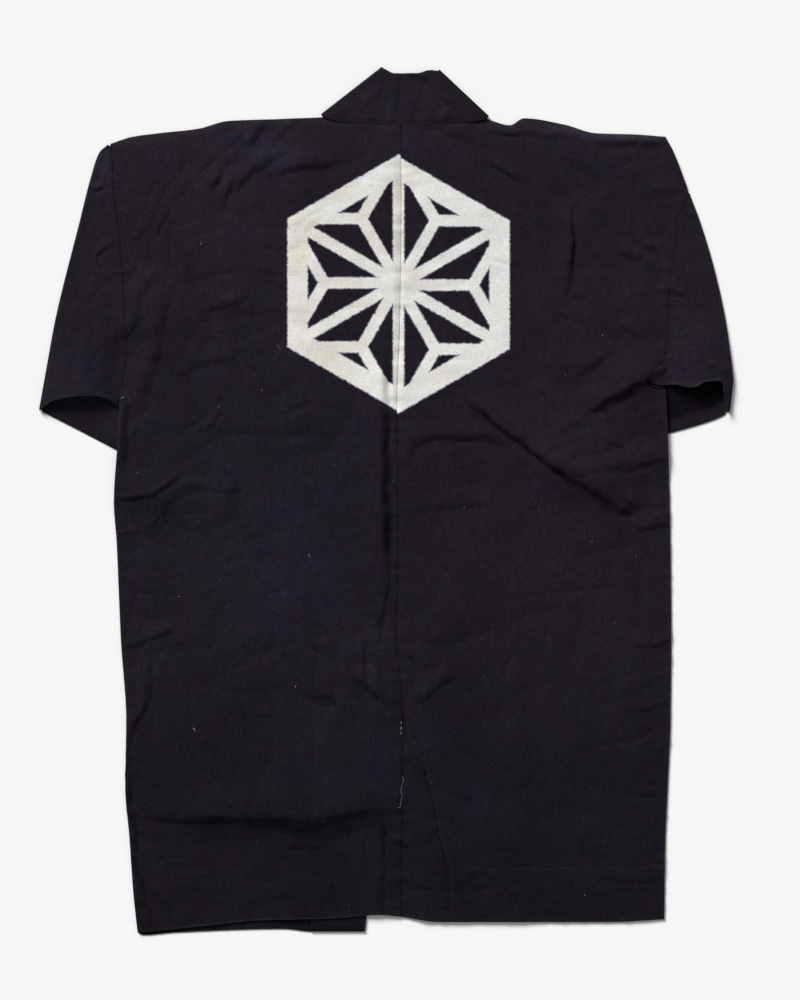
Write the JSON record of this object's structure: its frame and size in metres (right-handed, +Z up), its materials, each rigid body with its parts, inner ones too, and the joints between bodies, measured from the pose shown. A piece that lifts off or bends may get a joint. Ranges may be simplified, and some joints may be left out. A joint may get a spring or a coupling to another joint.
{
  "type": "happi coat",
  "caption": "Short-sleeved indigo cotton happi coat laid flat on its front, back up, with a collar band, open cuffs and a pale hemp-leaf hexagon across the back.",
  "frame": {"origin": "centre of the coat's footprint, on the surface it lies on", "axes": "+Y towards the collar, +X towards the coat's right side as seen from above its back, +Z up, out of the back"},
  "size_m": [0.793, 0.987, 0.021],
  "materials": {
    "indigo_left": "matte woven cotton, deep indigo",
    "indigo_right": "matte woven cotton, deep indigo",
    "indigo_sleeve": "matte woven cotton, deep indigo, a little rubbed",
    "indigo_collar": "matte woven cotton, deep indigo, folded double"
  },
  "bodies": {
    "root": {"body_left": "indigo_left", "body_right": "indigo_right", "sleeve_left": "indigo_sleeve", "sleeve_right": "indigo_sleeve", "collar": "indigo_collar"}
  },
  "joints": []
}
